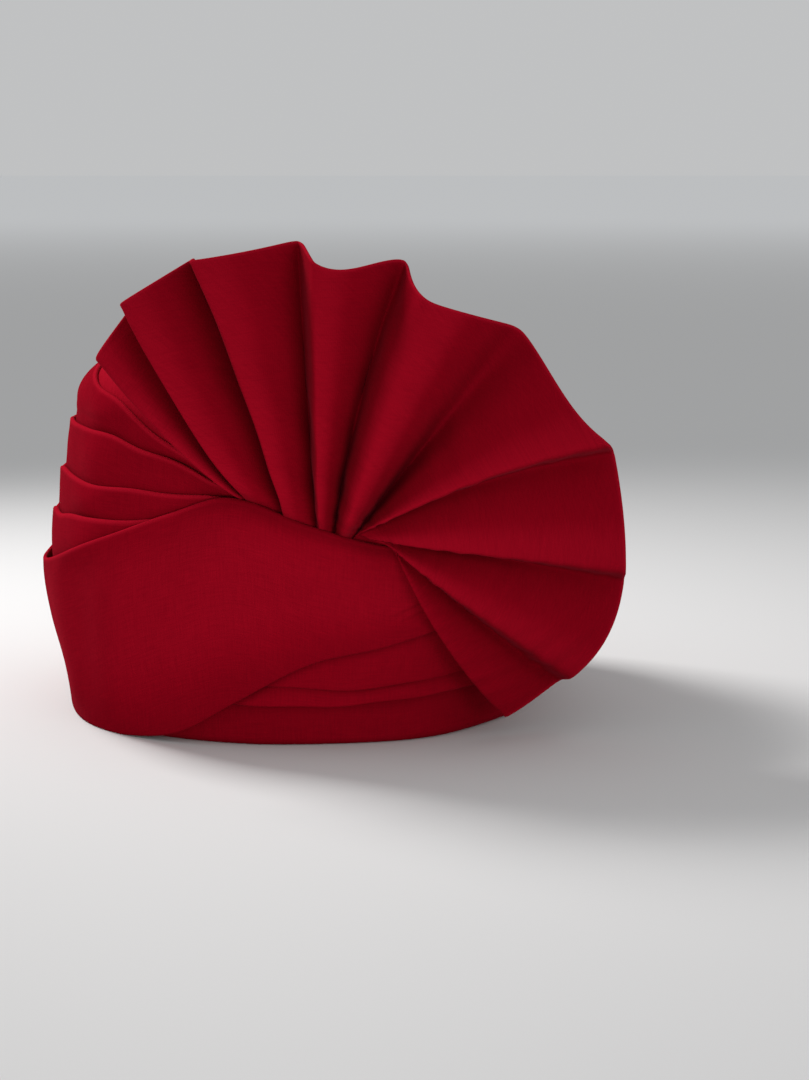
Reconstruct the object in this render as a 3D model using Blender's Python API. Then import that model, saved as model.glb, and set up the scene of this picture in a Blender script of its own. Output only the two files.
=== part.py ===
"""A tied turban: a hollow padded crown, seven turns of cloth laid round it, a wide sash over them
and a pleated fan that springs from the knot at the front.

Metres, +Z up. The front of the turban faces -Y, and +X is the viewer's right.
"""
import bpy
import numpy as np

# The head opening
HEAD_WIDTH = 0.164
HEAD_DEPTH = 0.198
CAP_WALL = 0.004
DOME_WALL = 0.009

# The wound crown
CROWN_HALF_WIDTH = 0.1095
CROWN_HEIGHT = 0.172
OVAL_POWER = 2.3
FOLD_THICKNESS = 0.002
LAP = 0.0045
LAP_SHARE = 0.35
RIM_ROLL = 0.004

# The sash
BAND_THICKNESS = 0.002
KNOT_BULGE = 0.007
BULGE_ANGLE = -1
BULGE_LEFT_SPREAD = 26
BULGE_RIGHT_SPREAD = 22
BULGE_STEEPNESS = 1.6
BULGE_FOOT = 0.35
CROSSING_ANGLE = 16

# The fan
FAN_REACH = 0.120
PLEAT_DEPTH = 0.020
FAN_SET_BACK = 0.040
FAN_WALL = 0.0015
KNOT_SIDE = 0.0212
ROOT_TUCK = 0.005
SET_BACK_POWER = 1.7

# How a pleat deepens along its fold: its depth at the root as a share of the full depth, the share
# of the fold over which it stays so, and the power of its growth from there
ROOT_DEPTH = 0.02
ROOT_SPAN = 0.05
DEPTH_POWER = 0.8

# Gap between touching pieces
CLEARANCE = 0.0003

# Fineness of the facets
TURN_STEPS = 48
PANEL_STEPS = 5
FLANK_STEPS = 2
FOLD_STEPS = 10
DOME_ANGLES = (25, 45, 65, 80)
HOLLOW_ANGLES = (30, 55, 78)
BAND_SHARES = (1.0, 0.9, 0.75, 0.55, 0.35, 0.15, 0.0)
SHARP_ANGLE = 40

CLOTH_RED = (0.235, 0.004, 0.012, 1.0)
CLOTH_ROUGHNESS = 0.85

# Outer skin of the crown below the dome: height as a share of CROWN_HEIGHT, half width as a share of
# CROWN_HALF_WIDTH. The dome is a quarter ellipse from the last row to the top.
SKIN_COLUMNS = ("height", "half_width")
SKIN = (
    (0.00, 0.905),
    (0.12, 0.932),
    (0.24, 0.970),
    (0.36, 0.998),
    (0.45, 1.000),
    (0.55, 0.972),
    (0.65, 0.940),
    (0.76, 0.905),
)

# Heights of the cloth's edges round the crown, as shares of CROWN_HEIGHT. The columns are places on
# the turn, given as degrees from the front towards the viewer's right.
EDGE_ANGLES = {
    "back": -180, "back_left": -120, "left": -68, "quarter_left": -42, "near_left": -26,
    "knot_left": -13, "knot": 4, "knot_right": 18, "quarter_right": 35, "right": 75, "back_right": 125,
}
EDGES = {
    "wrap_1_top": (0.814, 0.843, 0.863, 0.791, 0.703, 0.637, 0.613, 0.616, 0.686, 0.831, 0.843),
    "wrap_2_top": (0.686, 0.709, 0.737, 0.719, 0.676, 0.619, 0.593, 0.590, 0.628, 0.721, 0.709),
    "wrap_3_top": (0.564, 0.587, 0.615, 0.606, 0.605, 0.599, 0.573, 0.558, 0.570, 0.616, 0.599),
    "wrap_4_top": (0.453, 0.477, 0.515, 0.531, 0.547, 0.555, 0.541, 0.517, 0.488, 0.488, 0.477),
    "rim_1_top": (0.337, 0.326, 0.320, 0.320, 0.337, 0.360, 0.360, 0.360, 0.366, 0.384, 0.360),
    "rim_1_hem": (0.151, 0.145, 0.140, 0.140, 0.145, 0.151, 0.144, 0.139, 0.163, 0.169, 0.157),
    "rim_2_hem": (0.099, 0.087, 0.081, 0.083, 0.090, 0.098, 0.102, 0.100, 0.118, 0.116, 0.105),
    "band_top": (0.488, 0.419, 0.398, 0.491, 0.562, 0.606, 0.542, 0.492, 0.483, 0.523, 0.535),
    "band_hem": (0.198, 0.058, 0.000, 0.000, 0.030, 0.110, 0.212, 0.246, 0.297, 0.326, 0.291),
}

# Folds of the fan, from the viewer's left over the top to the lower right. Angle: degrees from the
# viewer's right, seen from the front. Reach: share of FAN_REACH. Front: +1 a crest, -1 a valley.
# Back: how far the tip is set back, share of FAN_SET_BACK. Root: place of the fold in the gather,
# share of CROWN_HALF_WIDTH. Tuck: how deep the root sits behind the sash, share of ROOT_TUCK.
# Bow: sideways bend, share of the fold's length. Soft: 1 a round fold, 0 a creased one, for the
# panel that follows the row.
FAN_COLUMNS = ("angle", "reach", "front", "back", "root", "tuck", "bow", "soft")
FAN_FOLDS = (
    (144.7, 1.030, -0.3, 1.05, -0.168, 0.3, 0.02, 0.5),
    (143.5, 1.045, 1.0, 0.95, -0.160, 0.3, 0.02, 0.3),
    (132.6, 1.075, -1.0, 0.90, -0.150, 0.4, 0.02, 0.5),
    (133.6, 1.110, 1.0, 0.85, -0.140, 0.5, 0.02, 0.3),
    (119.9, 1.080, -1.0, 0.80, -0.085, 1.0, -0.02, 0.5),
    (118.9, 1.080, 1.0, 0.78, -0.010, 1.0, -0.026, 0.3),
    (98.6, 1.012, -1.0, 0.73, 0.040, 1.0, 0.0, 0.6),
    (95.9, 0.940, 1.0, 0.70, 0.095, 1.0, 0.0, 0.8),
    (77.5, 0.953, -1.0, 0.70, 0.139, 0.9, 0.03, 1.0),
    (70.7, 0.856, 1.0, 0.70, 0.168, 0.8, 0.01, 1.0),
    (48.4, 0.912, -1.0, 0.70, 0.197, 0.5, 0.01, 0.8),
    (19.2, 0.944, 1.0, 0.75, 0.226, -0.4, 0.05, 0.5),
    (11.3, 0.957, -1.0, 0.80, 0.245, -0.4, 0.03, 0.8),
    (-6.6, 0.950, 1.0, 0.87, 0.278, -0.4, 0.01, 0.5),
    (-13.8, 0.974, -1.0, 0.93, 0.300, -0.4, 0.0, 0.8),
    (-32.3, 0.940, 1.0, 1.05, 0.329, -0.4, 0.0, 0.5),
    (-38.7, 0.935, -1.0, 1.10, 0.345, -0.4, -0.02, 0.8),
    (-49.8, 0.840, 0.5, 1.15, 0.362, -0.4, -0.04, 0.0),
)


def columns(names, rows):
    """The table's columns as arrays, by name."""
    return dict(zip(names, np.array(rows, float).T))


def hermite(knots, values, at):
    """Smooth curve through points: cubic pieces whose slope at a point is that of its neighbours."""
    slopes = np.gradient(values, knots)
    cell = np.clip(np.searchsorted(knots, at, side="right") - 1, 0, len(knots) - 2)
    width = knots[cell + 1] - knots[cell]
    t = (at - knots[cell]) / width
    rise = 3 * t**2 - 2 * t**3
    return (
        values[cell] * (1 - rise)
        + values[cell + 1] * rise
        + width * slopes[cell] * (t**3 - 2 * t**2 + t)
        + width * slopes[cell + 1] * (t**3 - t**2)
    )


def edge_height(name, angle):
    """Height of a cloth edge at angles from the front, a closed smooth curve through its row."""
    knots = np.array(list(EDGE_ANGLES.values()), float)
    shares = np.array(EDGES[name], float)
    knots = np.concatenate([knots[-2:] - 360, knots, knots[:2] + 360])
    shares = np.concatenate([shares[-2:], shares, shares[:2]])
    turned = (np.asarray(angle, float) + 180) % 360 - 180
    return CROWN_HEIGHT * np.maximum(hermite(knots, shares, turned), 0.0)


def skin(height):
    """Half width of the wound crown at a height."""
    table = columns(SKIN_COLUMNS, SKIN)
    share = np.asarray(height, float) / CROWN_HEIGHT
    last = table["height"][-1]
    wall = hermite(table["height"], table["half_width"], np.clip(share, 0.0, last))
    climb = np.clip((share - last) / (1 - last), 0.0, 1.0)
    return CROWN_HALF_WIDTH * wall * np.sqrt(1 - climb**2)


def oval(half_width, angle, height):
    """Points on the crown's oval plan: a superellipse, deeper than it is wide by the head's shape."""
    sine, cosine = np.sin(np.radians(angle)), np.cos(np.radians(angle))
    stretch = (np.abs(sine) ** OVAL_POWER + np.abs(cosine) ** OVAL_POWER) ** (-1 / OVAL_POWER)
    half_depth = half_width + (HEAD_DEPTH - HEAD_WIDTH) / 2 * np.minimum(half_width / (HEAD_WIDTH / 2), 1)
    return np.stack(np.broadcast_arrays(half_width * stretch * sine, -half_depth * stretch * cosine, height), -1)


def turn_angles():
    """Angles of the facets' corners round the crown."""
    return np.arange(TURN_STEPS) * 360 / TURN_STEPS - 180


def make_object(name, points, faces):
    """An object of its own red cotton from places and the corners of its facets."""
    mesh = bpy.data.meshes.new(name)
    mesh.from_pydata(points.reshape(-1, 3).tolist(), [], faces)
    mesh.update()
    mesh.shade_smooth()
    mesh.set_sharp_from_angle(angle=np.radians(SHARP_ANGLE))
    material = bpy.data.materials.new(name + "_cloth")
    material.use_nodes = True
    shader = material.node_tree.nodes["Principled BSDF"]
    shader.inputs["Base Color"].default_value = CLOTH_RED
    shader.inputs["Roughness"].default_value = CLOTH_ROUGHNESS
    shader.inputs["Metallic"].default_value = 0.0
    mesh.materials.append(material)
    made = bpy.data.objects.new(name, mesh)
    bpy.context.scene.collection.objects.link(made)
    return made


def split(lower_left, lower_right, upper_right, upper_left, rising):
    """Two triangles of a four-sided facet, cut along the named diagonal."""
    if rising:
        return [(lower_left, lower_right, upper_right), (lower_left, upper_right, upper_left)]
    return [(lower_left, lower_right, upper_left), (lower_right, upper_right, upper_left)]


def make_ring(name, half_widths, heights):
    """A closed turn of cloth. Each column of the arrays is one point of its section, listed from the
    outer top down the outside and back up the inside, and each row is one angle of the turn.
    Facets are cut so that neighbours that share an angle lie parallel."""
    turns, count = heights.shape
    points = oval(half_widths, turn_angles()[:, None], heights)
    inward = half_widths.mean(axis=0)
    faces = []
    for i in range(turns):
        after = (i + 1) % turns
        for j in range(count):
            below = (j + 1) % count
            corners = (i * count + below, after * count + below, after * count + j, i * count + j)
            faces += split(*corners, rising=inward[j] > inward[below])
    return make_object(name, points, faces)


def lap_at(upper_height, lower_height):
    """Overlap of two neighbouring turns, less where they crowd together at the knot."""
    return np.minimum(LAP, LAP_SHARE * np.minimum(upper_height, lower_height))


def make_turns():
    """Seven turns stacked round the cap. Each of the upper ones tucks its foot behind the lip of the
    turn below; the two lowest seams hang the upper turn's hem over the turn below."""
    angle = turn_angles()
    seams = ("wrap_1_top", "wrap_2_top", "wrap_3_top", "wrap_4_top", "rim_1_top", "rim_1_hem", "rim_2_hem")
    levels = [edge_height(seam, angle) for seam in seams] + [np.zeros(TURN_STEPS)]
    levels_above = [np.full(TURN_STEPS, CROWN_HEIGHT)] + levels
    names = [f"crown_wrap_{i}" for i in range(1, 5)] + [f"rim_wrap_{i}" for i in range(1, 4)]
    hanging = {"rim_1_hem", "rim_2_hem"}
    core = HEAD_WIDTH / 2 + CAP_WALL + CLEARANCE
    lift = CLEARANCE + FOLD_THICKNESS
    made = []
    for i, name in enumerate(names):
        top, foot = levels[i], levels[i + 1]
        lap_top = lap_at(levels_above[i] - top, top - foot)
        top_hung = seams[i] in hanging
        last = i == len(names) - 1
        foot_hung = not last and seams[i + 1] in hanging
        lap_foot = 0 * top if last else lap_at(top - foot, foot - levels[i + 2])
        shelf = top + lap_top - CLEARANCE if top_hung else top - lap_top
        ledge = foot + lap_foot if foot_hung else foot - lap_foot + CLEARANCE
        middle = (top + foot) / 2
        top_lift = 0.0 if top_hung else lift
        foot_lift = lift if foot_hung else 0.0
        section = []
        if top_hung:
            section += [(skin(shelf), shelf), (skin(top), top)]
        else:
            section += [(skin(shelf) + CLEARANCE, shelf), (skin(top) + CLEARANCE, top), (skin(top) + lift, top)]
        section += [(skin(middle) + (top_lift + foot_lift) / 2, middle)]
        if last:
            roll = foot + RIM_ROLL
            section += [(skin(roll), roll), (skin(foot) - RIM_ROLL / 2, foot), (core + 0 * foot, foot)]
        elif foot_hung:
            section += [(skin(foot) + lift, foot), (skin(foot) + CLEARANCE, foot)]
            section += [(skin(ledge) + CLEARANCE, ledge), (core + 0 * foot, ledge)]
        else:
            section += [(skin(foot), foot), (skin(ledge), ledge), (core + 0 * foot, ledge)]
        section += [(core + 0 * shelf, shelf)]
        half_widths = np.stack([half for half, height in section], axis=1)
        heights = np.stack([height for half, height in section], axis=1)
        made.append(make_ring(name, half_widths, heights))
    return made


def make_cap():
    """The padded dome: a thin tube inside the turns, a shoulder that rests on the first of them, and
    the crown's top. Its hollow is the head's oval, closed by a quarter ellipse."""
    angle = turn_angles()
    first, second = edge_height("wrap_1_top", angle), edge_height("wrap_2_top", angle)
    shoulder = first - lap_at(CROWN_HEIGHT - first, first - second) + CLEARANCE
    dome_base = SKIN[-1][0] * CROWN_HEIGHT
    tube = HEAD_WIDTH / 2 + CAP_WALL
    outer = [(tube + 0 * shoulder, 0 * shoulder), (tube + 0 * shoulder, shoulder), (skin(shoulder), shoulder)]
    crown_base = np.maximum(dome_base, first + LAP)
    outer += [(skin(level), level) for level in (first, (first + crown_base) / 2, crown_base)]
    for turn in np.radians(DOME_ANGLES):
        level = crown_base + (CROWN_HEIGHT - crown_base) * np.sin(turn)
        outer.append((skin(level), level))
    inner_top = CROWN_HEIGHT - DOME_WALL
    inner_base = inner_top - HEAD_WIDTH / 3
    lining = HEAD_WIDTH / 2 + 0 * shoulder
    inner = [(lining, 0 * shoulder), (lining, inner_base + 0 * shoulder)]
    for turn in np.radians(HOLLOW_ANGLES):
        level = inner_base + (inner_top - inner_base) * np.sin(turn)
        inner.append((lining * np.cos(turn), level + 0 * shoulder))
    section = inner[::-1] + outer
    half_widths = np.stack([half for half, height in section], axis=1)
    heights = np.stack([height for half, height in section], axis=1)
    points = oval(half_widths, angle[:, None], heights)
    count = len(section)
    points = np.concatenate([points.reshape(-1, 3), [(0, 0, inner_top), (0, 0, CROWN_HEIGHT)]])
    hollow_tip, crown_tip = len(points) - 2, len(points) - 1
    faces = []
    for i in range(TURN_STEPS):
        after = (i + 1) % TURN_STEPS
        for j in range(count - 1):
            corners = (i * count + j, after * count + j, after * count + j + 1, i * count + j + 1)
            faces += split(*corners, rising=half_widths[:, j].mean() < half_widths[:, j + 1].mean())
        faces.append((after * count, i * count, hollow_tip))
        faces.append((i * count + count - 1, after * count + count - 1, crown_tip))
    return make_object("crown_cap", points, faces)


def bulge_at(angle, share):
    """How far the sash stands off the crown to let the fan's gather in, most at its rolled top edge."""
    aside = np.asarray(angle, float) - BULGE_ANGLE
    spread = np.where(aside < 0, BULGE_LEFT_SPREAD, BULGE_RIGHT_SPREAD)
    along = np.clip(BULGE_STEEPNESS * (1 - np.abs(aside) / spread), 0, 1)
    up = np.clip((share - BULGE_FOOT) / (1 - BULGE_FOOT), 0, 1)
    return KNOT_BULGE * (3 * along**2 - 2 * along**3) * (3 * up**2 - 2 * up**3)


def make_band():
    """The sash: a thin closed turn over the others, wide at the left and narrow at the right."""
    angle = turn_angles()
    top, hem = edge_height("band_top", angle), edge_height("band_hem", angle)
    inside = FOLD_THICKNESS + 3 * CLEARANCE
    shares = np.array(BAND_SHARES)
    levels = hem[:, None] + (top - hem)[:, None] * shares
    stand = skin(levels) + inside + bulge_at(angle[:, None], shares)
    half_widths = np.concatenate([stand + BAND_THICKNESS, stand[:, ::-1]], axis=1)
    heights = np.concatenate([levels, levels[:, ::-1]], axis=1)
    return make_ring("front_band", half_widths, heights)


def fold_lines():
    """Places along each fold of the fan, an array of fold, step, axis. A fold runs from its root
    behind the sash to its tip, bowed sideways, set back in an easy curve, and comes forward as a
    crest or back as a valley more and more along its length."""
    table = columns(FAN_COLUMNS, FAN_FOLDS)
    side = table["root"] * CROWN_HALF_WIDTH
    half_width = skin(edge_height("band_top", 0.0))
    angle = np.degrees(np.arctan2(side, half_width))
    root_height = edge_height("band_top", angle) - table["tuck"] * ROOT_TUCK
    free = np.maximum(bulge_at(angle, 1.0), 2 * FAN_WALL)
    stand = FOLD_THICKNESS + 2 * CLEARANCE + free / 2
    root = oval(skin(root_height) + stand, angle, root_height)
    knot = np.array([KNOT_SIDE, root[:, 1].min(), edge_height("band_top", CROSSING_ANGLE + 2)])
    heading = np.radians(table["angle"])
    length = table["reach"] * FAN_REACH
    tip = knot + np.stack([length * np.cos(heading), 0 * length, length * np.sin(heading)], 1)
    share = np.linspace(0, 1, FOLD_STEPS + 1)[None, :]
    run = tip - root
    lines = root[:, None, :] + run[:, None, :] * share[:, :, None]
    lines[:, :, 1] += table["back"][:, None] * FAN_SET_BACK * share**SET_BACK_POWER
    across = np.stack([-run[:, 2], 0 * side, run[:, 0]], 1)
    lines += across[:, None, :] * (4 * table["bow"][:, None] * share * (1 - share))[:, :, None]
    grown = np.clip((share - ROOT_SPAN) / (1 - ROOT_SPAN), 0, 1) ** DEPTH_POWER
    swell = ROOT_DEPTH + (1 - ROOT_DEPTH) * grown
    lines[:, :, 1] -= table["front"][:, None] * PLEAT_DEPTH / 2 * swell
    return lines, table["soft"]


def in_front_of(points, half_width):
    """Bring points forward where they lie inside the crown's oval of this half width."""
    half_depth = half_width + (HEAD_DEPTH - HEAD_WIDTH) / 2
    inside = np.clip(1 - np.abs(points[..., 0] / half_width) ** OVAL_POWER, 0, 1)
    limit = np.where(inside > 0, -half_depth * inside ** (1 / OVAL_POWER), np.inf)
    moved = points.copy()
    moved[..., 1] = np.minimum(points[..., 1], limit)
    return moved


def laid_on_crown(points):
    """The fan rests on the turns, and right of the knot it lies over the sash too."""
    room = FAN_WALL / 2 + 2 * CLEARANCE
    height = points[..., 2]
    turn = np.degrees(np.arctan2(points[..., 0], CROWN_HALF_WIDTH))
    on_sash = (turn > CROSSING_ANGLE) & (height < edge_height("band_top", turn) + 3 * FOLD_THICKNESS)
    sash = BAND_THICKNESS + 2 * CLEARANCE + bulge_at(turn, 1.0)
    layers = FOLD_THICKNESS + CLEARANCE + np.where(on_sash, sash, 0.0)
    return in_front_of(points, skin(height) + layers + room)


def fan_sheet():
    """The middle surface of the fan: panels ruled from fold to fold, their depth eased so that a
    crest is broad and a valley narrow."""
    lines, soft = fold_lines()
    columns_made = [lines[0]]
    for i in range(len(lines) - 1):
        here, there = lines[i], lines[i + 1]
        steps = FLANK_STEPS if np.linalg.norm((there - here)[-1, ::2]) < PLEAT_DEPTH / 2 else PANEL_STEPS
        for k in range(1, steps + 1):
            u = k / steps
            from_crest = here[-1, 1] < there[-1, 1]
            v = u if from_crest else 1 - u
            eased = (1 - soft[i]) * (1 - np.cos(v * np.pi / 2)) + soft[i] * (0.5 - 0.5 * np.cos(v * np.pi))
            w = eased if from_crest else 1 - eased
            made = here + (there - here) * u
            made[:, 1] = here[:, 1] + (there[:, 1] - here[:, 1]) * w
            columns_made.append(made)
    return laid_on_crown(np.array(columns_made))


def make_fan():
    """The fan as a thin closed wall round its middle surface."""
    sheet = fan_sheet()
    across = np.gradient(sheet, axis=0)
    along = np.gradient(sheet, axis=1)
    normal = np.cross(across, along)
    normal /= np.linalg.norm(normal, axis=2, keepdims=True)
    sides = np.stack([sheet - normal * FAN_WALL / 2, sheet + normal * FAN_WALL / 2])
    wide, tall = sheet.shape[:2]
    index = np.arange(2 * wide * tall).reshape(2, wide, tall)
    faces = []
    for i in range(wide - 1):
        for j in range(tall - 1):
            back = (index[0, i, j], index[0, i + 1, j], index[0, i + 1, j + 1], index[0, i, j + 1])
            front = (index[1, i, j], index[1, i + 1, j], index[1, i + 1, j + 1], index[1, i, j + 1])
            faces.append(tuple(int(v) for v in back))
            faces.append(tuple(int(v) for v in front[::-1]))
    border = [(i, 0) for i in range(wide)] + [(wide - 1, j) for j in range(1, tall)]
    border += [(i, tall - 1) for i in range(wide - 2, -1, -1)] + [(0, j) for j in range(tall - 2, 0, -1)]
    for (i, j), (k, l) in zip(border, border[1:] + border[:1]):
        faces.append(tuple(int(v) for v in (index[0, i, j], index[1, i, j], index[1, k, l], index[0, k, l])))
    return make_object("pleated_fan", sides, faces)


def point_outwards(piece):
    """Turn a closed piece's faces outwards if its volume comes out negative."""
    mesh = piece.data
    places = np.array([vertex.co[:] for vertex in mesh.vertices])
    mesh.calc_loop_triangles()
    corners = np.array([triangle.vertices[:] for triangle in mesh.loop_triangles])
    a, b, c = places[corners[:, 0]], places[corners[:, 1]], places[corners[:, 2]]
    if np.einsum("ij,ij->i", a, np.cross(b, c)).sum() < 0:
        mesh.flip_normals()


def set_origin_under_centre(pieces):
    """Shift every mesh so that the origin lies on the floor under the middle of the whole box."""
    corners = np.concatenate([[vertex.co[:] for vertex in piece.data.vertices] for piece in pieces])
    low, high = corners.min(axis=0), corners.max(axis=0)
    shift = np.array([(low[0] + high[0]) / 2, (low[1] + high[1]) / 2, low[2]])
    for piece in pieces:
        for vertex in piece.data.vertices:
            vertex.co = [place - move for place, move in zip(vertex.co, shift)]
        piece.data.update()


def main():
    for old in list(bpy.data.objects):
        bpy.data.objects.remove(old, do_unlink=True)
    pieces = [make_cap()] + make_turns() + [make_band(), make_fan()]
    for piece in pieces:
        point_outwards(piece)
    set_origin_under_centre(pieces)


main()
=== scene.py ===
"""Looks of a tied turban: folded turns of red cotton round a padded crown, a wide sash, and a
pleated fan that springs from the knot. Metres, +Z up; the front faces -Y and +X is the viewer's right.
"""

import bpy
import numpy as np
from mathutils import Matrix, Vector


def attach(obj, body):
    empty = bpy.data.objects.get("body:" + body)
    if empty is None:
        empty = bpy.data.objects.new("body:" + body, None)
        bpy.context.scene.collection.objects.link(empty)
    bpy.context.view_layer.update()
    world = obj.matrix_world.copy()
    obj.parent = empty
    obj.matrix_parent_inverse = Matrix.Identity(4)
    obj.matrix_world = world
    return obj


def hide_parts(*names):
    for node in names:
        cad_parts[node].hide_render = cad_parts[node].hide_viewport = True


bl_info = {
    "name": "Tied Turban",
    "version": (1, 0, 0),
    "blender": (4, 5, 0),
    "location": "3D View > Sidebar > Turban",
    "description": "Builds a wound cotton turban with a pleated fan",
    "category": "Add Mesh",
}

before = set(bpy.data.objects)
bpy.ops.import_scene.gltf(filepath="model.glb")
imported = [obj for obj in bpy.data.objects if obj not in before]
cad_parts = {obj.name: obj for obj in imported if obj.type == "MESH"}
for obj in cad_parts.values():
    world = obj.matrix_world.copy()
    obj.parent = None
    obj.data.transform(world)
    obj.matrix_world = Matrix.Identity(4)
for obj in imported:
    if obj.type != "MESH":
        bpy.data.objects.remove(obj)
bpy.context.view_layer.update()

# Places taken from the frame
CAP_PLACES = np.array([vertex.co[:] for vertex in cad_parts["crown_cap"].data.vertices])
CAP_RIM = CAP_PLACES[CAP_PLACES[:, 2] < CAP_PLACES[:, 2].min() + 1e-5]
AXIS = (CAP_RIM.min(axis=0) + CAP_RIM.max(axis=0)) / 2
CROWN_HEIGHT = float(CAP_PLACES[:, 2].max())
CAP_RADIUS = float(np.ptp(CAP_RIM[:, 0])) / 2

# The head opening and the crown's plan
HEAD_HALF_WIDTH = 0.082
HEAD_HALF_DEPTH = 0.099
DOME_WALL = 0.009
CROWN_HALF_WIDTH = 0.1095
OVAL_POWER = 2.3
CROWN_GIRTH = 0.72
CLEARANCE = 0.0003

# The padded cap: how far the first turn laps over its shoulder, the height of the hollow's dome as a
# share of its half width, and the angle at which its ellipses stop short of the pole
CAP_LAP = 0.0045
HOLLOW_RISE = 2 / 3
POLE_ANGLE = 88.5

# The folded turns: the share of a turn's height that may be lapped, the longest tails, how deep a tail
# sinks into the crown, how plump a turn is, how loosely its edges run and how uneven the crown is
LAP_SHARE = 0.35
UPPER_TAIL = 0.005
LOWER_TAIL = 0.007
TAIL_SINK = 0.0002
PLUMPNESS = 0.0006
EDGE_SLACK = 0.0004
CROWN_SWELL = 0.0005
HUNG_TURNS = ("rim_wrap_1", "rim_wrap_2")

# The rolled rim: its radius, and how many layers show on its underside and how far they bulge
RIM_ROLL = 0.004
RIM_LAYERS = 5
LAYER_BULGE = 0.00045

# Outer skin of the crown under the lips: height as a share of CROWN_HEIGHT, half width as a share of
# CROWN_HALF_WIDTH
SKIN_COLUMNS = ("height", "half_width")
SKIN = (
    (0.00, 0.905),
    (0.12, 0.932),
    (0.24, 0.970),
    (0.36, 0.998),
    (0.45, 1.000),
    (0.55, 0.972),
    (0.65, 0.940),
    (0.76, 0.905),
)

# Heights of the cloth's edges round the crown, as shares of CROWN_HEIGHT. The columns are places on
# the turn, given as degrees from the front towards the viewer's right.
EDGE_ANGLES = {
    "back": -180, "back_left": -120, "left": -68, "quarter_left": -42, "near_left": -26,
    "knot_left": -13, "knot": 4, "knot_right": 18, "quarter_right": 35, "right": 75, "back_right": 125,
}
EDGES = {
    "wrap_1_top": (0.814, 0.843, 0.863, 0.791, 0.703, 0.637, 0.613, 0.616, 0.686, 0.831, 0.843),
    "wrap_2_top": (0.686, 0.709, 0.737, 0.719, 0.676, 0.619, 0.593, 0.590, 0.628, 0.721, 0.709),
    "wrap_3_top": (0.564, 0.587, 0.615, 0.606, 0.605, 0.599, 0.573, 0.558, 0.570, 0.616, 0.599),
    "wrap_4_top": (0.453, 0.477, 0.515, 0.531, 0.547, 0.555, 0.541, 0.517, 0.488, 0.488, 0.477),
    "rim_1_top": (0.337, 0.326, 0.320, 0.320, 0.337, 0.360, 0.360, 0.360, 0.366, 0.384, 0.360),
    "rim_1_hem": (0.151, 0.145, 0.140, 0.140, 0.145, 0.151, 0.144, 0.139, 0.163, 0.169, 0.157),
    "rim_2_hem": (0.099, 0.087, 0.081, 0.083, 0.090, 0.098, 0.102, 0.100, 0.118, 0.116, 0.105),
    "band_top": (0.488, 0.419, 0.398, 0.491, 0.562, 0.606, 0.542, 0.492, 0.483, 0.523, 0.535),
    "band_hem": (0.198, 0.058, 0.000, 0.000, 0.030, 0.110, 0.212, 0.246, 0.297, 0.326, 0.291),
}

# Where the fan's gather meets the sash, in degrees from the front
BULGE_ANGLE = -1
BULGE_SPREADS = (26, 22)
CROSSING_ANGLE = 16
KNOT_SIDE = 0.0212
ROOT_TUCK = 0.005

# The sash. Its upper edge is rolled, drawn in and up to twice as thick round the knot. It stands off the
# turns, ripples under tension, is loose along part of its hem, and lies close outside the open span.
# A span is an angle, the degrees over which it begins, its last angle and the degrees over which it ends.
SASH_BULGE = 0.007
BULGE_STEEPNESS = 1.6
BULGE_FOOT = 0.35
ROLLED_ANGLE = 2
ROLLED_SPREAD = 34
ROLLED_FROM = 0.80
ROLLED_DRAW = 0.0024
SASH_EASE = 0.0007
BROAD_RIPPLE = 0.0006
NARROW_RIPPLE = 0.0003
LOOSE_HEM = 0.0022
LOOSE_SPAN = (-14, 16, 80, 30)
CLOSE_DRAW = 0.0013
CLOSE_DEPTH = 0.007
OPEN_SPAN = (-170, 20, 97, 12)
CREASE_REACH = 0.0008

# Wear and painted light on the cloth, from 1, paler on a rubbed fold that also takes a painted highlight, to
# -1,
# painted shade, nearly black: how strong each mark is and how far from its edge it reaches
# Reach of the paler lips and hem: rubbed wear with a painted highlight
WORN_AND_LIT_EDGE_REACH = 0.0008
# Painted shade under a seam, on the hung turns and the rim
SEAM_SHADE = 0.20
SEAM_REACH = 0.003
# Painted shade on the hung turns under the sash's hem
UNDER_SASH_SHADE = 0.50
UNDER_SASH_REACH = 0.0022
# Painted shade: the rolled rim darker all over
RIM_PAINTED_SHADE = -0.18
# Painted light: the whole cap paler
CAP_PAINTED_LIGHT = 0.8
# Painted light: the sash paler away from its edges
SASH_PAINTED_LIGHT = 0.25
SASH_PAINTED_LIGHT_REACH = 0.02
# Painted shade: the sash darker towards its hem and along its rolled edge at the knot
SASH_FOOT_SHADE = 0.40
KNOT_SHADE = 0.30
KNOT_REACH = 0.004
# The fan's crests paler: rubbed wear with a painted highlight
CREST_WEAR_AND_HIGHLIGHT = 0.42

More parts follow.
